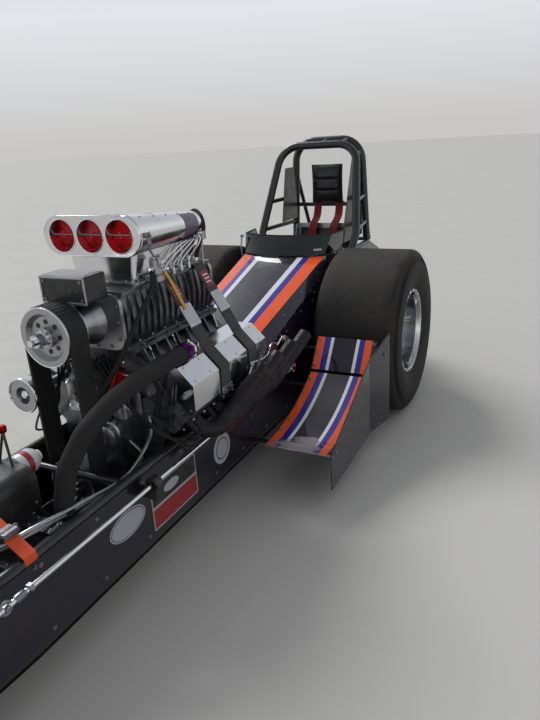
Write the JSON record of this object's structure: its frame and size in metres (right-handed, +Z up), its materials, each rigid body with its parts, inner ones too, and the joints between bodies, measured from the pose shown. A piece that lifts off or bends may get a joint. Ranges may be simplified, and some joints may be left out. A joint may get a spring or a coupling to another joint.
{
  "type": "front-engine drag racing car",
  "caption": "Long narrow front-engined drag racing car with wide rear slicks, slim wire front wheels, a belt-driven blower with an intake scoop, a roll cage and a parachute pack.",
  "frame": {"origin": "bottom centre of the bounding box, on the ground", "axes": "+X to the driver's left, +Y to the rear, +Z up"},
  "size_m": [1.4708, 6.6199, 1.4224],
  "materials": {
    "body_paint": "gloss",
    "frame_paint": "satin",
    "aluminium": "polished",
    "chrome": "polished",
    "steel": "satin",
    "black_steel": "satin",
    "rubber": "matte",
    "tinted_plastic": "gloss",
    "red_anodised": "satin",
    "fabric": "matte"
  },
  "bodies": {
    "chassis": {"side_frames": "frame_paint", "frame_cross_tubes": "frame_paint", "side_panels": "body_paint", "belly_pan": "aluminium", "nose_shell": "body_paint", "cowl": "body_paint", "windscreen": "tinted_plastic", "cockpit_sides": "body_paint", "roll_cage": "black_steel", "head_plates": "black_steel", "seat": "aluminium", "axle_housing": "frame_paint", "brake_calipers": "aluminium", "front_axle": "chrome", "link_guide": "black_steel", "steering_box": "aluminium", "engine_block": "frame_paint", "cylinder_heads": "aluminium", "valve_covers": "aluminium", "intake_manifold": "aluminium", "blower_case": "frame_paint", "blower_plates": "aluminium", "drive_box": "black_steel", "fuel_tank": "frame_paint", "breather_hose": "rubber", "belt_pulleys": "aluminium", "blower_belt": "rubber", "injector_hat": "aluminium", "throttle_plates": "red_anodised", "headers": "black_steel", "blower_straps": "fabric", "motor_plate": "aluminium", "front_cover": "aluminium", "magneto": "red_anodised", "bell_housing": "aluminium", "firewall": "aluminium", "ramps": "body_paint", "parachute_pack": "fabric", "tail_frame": "frame_paint"},
    "rear_axle": {"rear_slicks": "rubber", "rear_wheels": "chrome", "rear_hubs": "steel"},
    "knuckle_left": {"knuckle_left": "steel"},
    "knuckle_right": {"knuckle_right": "steel"},
    "front_wheel_left": {"front_tyre_left": "rubber", "front_wheel_left": "chrome"},
    "front_wheel_right": {"front_tyre_right": "rubber", "front_wheel_right": "chrome"},
    "tie_rod": {"tie_rod": "chrome"},
    "drag_link": {"drag_link": "chrome"},
    "pitman_arm": {"pitman_arm": "steel"},
    "steering_wheel": {"steering_wheel": "black_steel"}
  },
  "joints": [
    {"name": "rear_axle_spin", "type": "hinge", "parent": "chassis", "child": "rear_axle", "pos_m": [0, 2.31, 0.4275], "axis": [1, 0, 0], "continuous": true},
    {"name": "knuckle_left_steer", "type": "hinge", "parent": "chassis", "child": "knuckle_left", "pos_m": [0.455, -2.99, 0.29], "axis": [0, 0, 1], "range_deg": [-12, 12]},
    {"name": "knuckle_right_steer", "type": "hinge", "parent": "chassis", "child": "knuckle_right", "pos_m": [-0.455, -2.99, 0.29], "axis": [0, 0, 1], "range_deg": [-12.05, 12.05]},
    {"name": "front_wheel_left_spin", "type": "hinge", "parent": "knuckle_left", "child": "front_wheel_left", "pos_m": [0.55, -2.99, 0.29], "axis": [1, 0, 0], "continuous": true},
    {"name": "front_wheel_right_spin", "type": "hinge", "parent": "knuckle_right", "child": "front_wheel_right", "pos_m": [-0.55, -2.99, 0.29], "axis": [1, 0, 0], "continuous": true},
    {"name": "tie_rod_pivot", "type": "hinge", "parent": "knuckle_left", "child": "tie_rod", "pos_m": [0.455, -2.86, 0.175], "axis": [0, 0, 1], "range_deg": [-12.05, 12.05]},
    {"name": "drag_link_pivot", "type": "hinge", "parent": "knuckle_left", "child": "drag_link", "pos_m": [0.311, -2.99, 0.421], "axis": [0, 0, 1], "range_deg": [-12.05, 12.05]},
    {"name": "pitman_turn", "type": "hinge", "parent": "chassis", "child": "pitman_arm", "pos_m": [0.288, 1.633, 0.551], "axis": [1, 0, 0], "range_deg": [-13.34, 13.34]},
    {"name": "steering_wheel_turn", "type": "hinge", "parent": "chassis", "child": "steering_wheel", "pos_m": [0, 2.37, 0.7], "axis": [0, 0.9723, 0.2337], "range_deg": [-79.85, 79.85]}
  ],
  "couplings": [
    {"joint": "knuckle_right_steer", "follows": "knuckle_left_steer", "ratio": 1},
    {"joint": "tie_rod_pivot", "follows": "knuckle_left_steer", "ratio": -1},
    {"joint": "drag_link_pivot", "follows": "knuckle_left_steer", "ratio": -1},
    {"joint": "pitman_turn", "follows": "knuckle_left_steer", "ratio": -1.1077},
    {"joint": "steering_wheel_turn", "follows": "knuckle_left_steer", "ratio": 6.6461}
  ]
}
